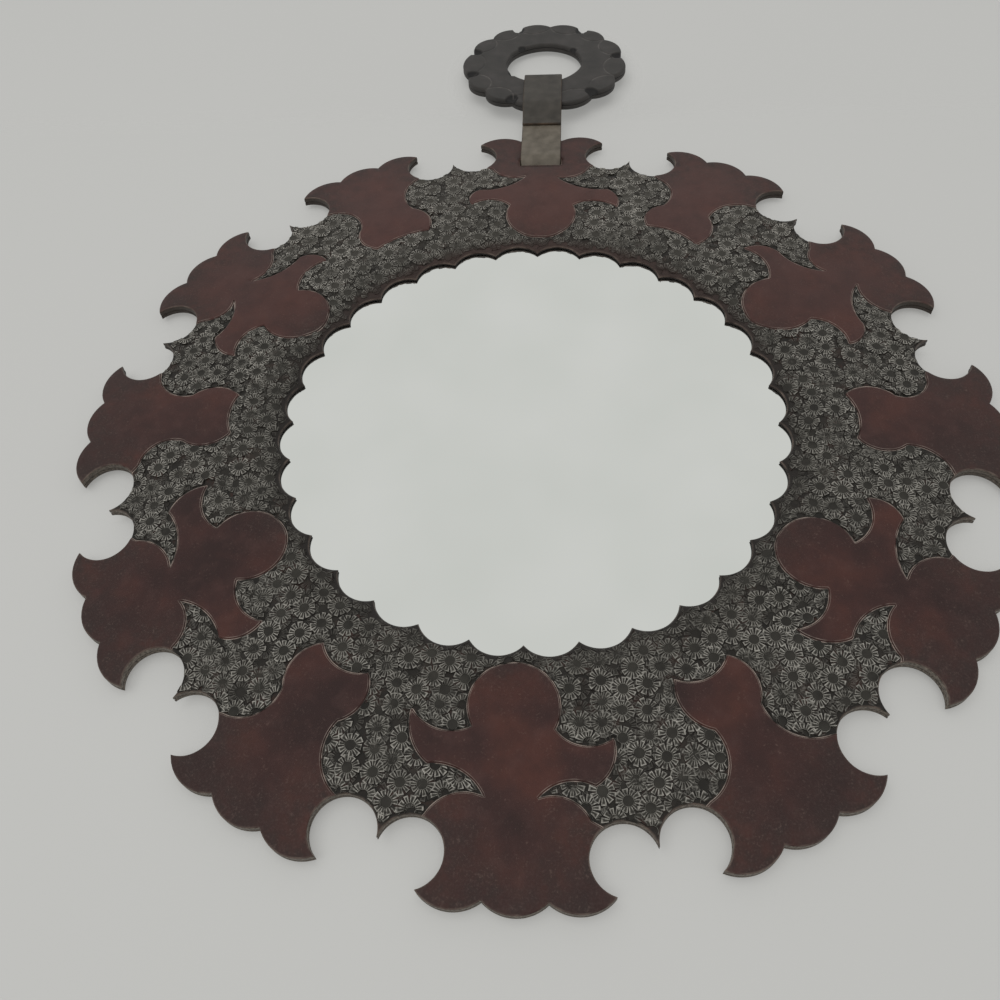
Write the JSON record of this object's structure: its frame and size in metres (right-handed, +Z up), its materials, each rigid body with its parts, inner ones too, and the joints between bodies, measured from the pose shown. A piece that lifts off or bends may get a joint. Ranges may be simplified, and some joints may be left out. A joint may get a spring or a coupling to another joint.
{
  "type": "tooled leather wall mirror",
  "caption": "Round wall mirror in a scalloped, tooled two-layer leather frame that hangs by a leather strap from a carved leather ring.",
  "frame": {"origin": "where the nail under the top of the ring's hole meets the wall", "axes": "+Z up the wall, +Y into the wall, +X to the right for someone facing the mirror"},
  "size_m": [0.457, 0.0175, 0.5867],
  "materials": {
    "tooled_leather": "oxblood motifs on a dark stamped ground",
    "liner_leather": "dark dyed edge",
    "silvered_glass": "polished",
    "hardboard": "raw",
    "suede": "suede",
    "ring_leather": "carved, dark dyed",
    "strap_leather": "waxed grain side, raw flesh side"
  },
  "bodies": {
    "ring": {"ring_front_layer": "ring_leather", "ring_back_layer": "ring_leather"},
    "loop": {"strap_loop": "strap_leather"},
    "frame": {"front_panel": "tooled_leather", "liner_panel": "liner_leather", "mirror_glass": "silvered_glass", "backing_board": "hardboard", "back_cover": "suede", "strap_tail": "strap_leather"}
  },
  "joints": [
    {"name": "ring_swing", "type": "hinge", "parent": "ring", "child": "loop", "pos_m": [0, -0.00769, -0.02467], "axis": [0, 0.9962, -0.0872], "range_deg": [-135, 135]},
    {"name": "strap_flex", "type": "hinge", "parent": "loop", "child": "frame", "pos_m": [0, -0.00976, -0.09285], "axis": [-1, 0, 0], "range_deg": [0, 60]}
  ]
}
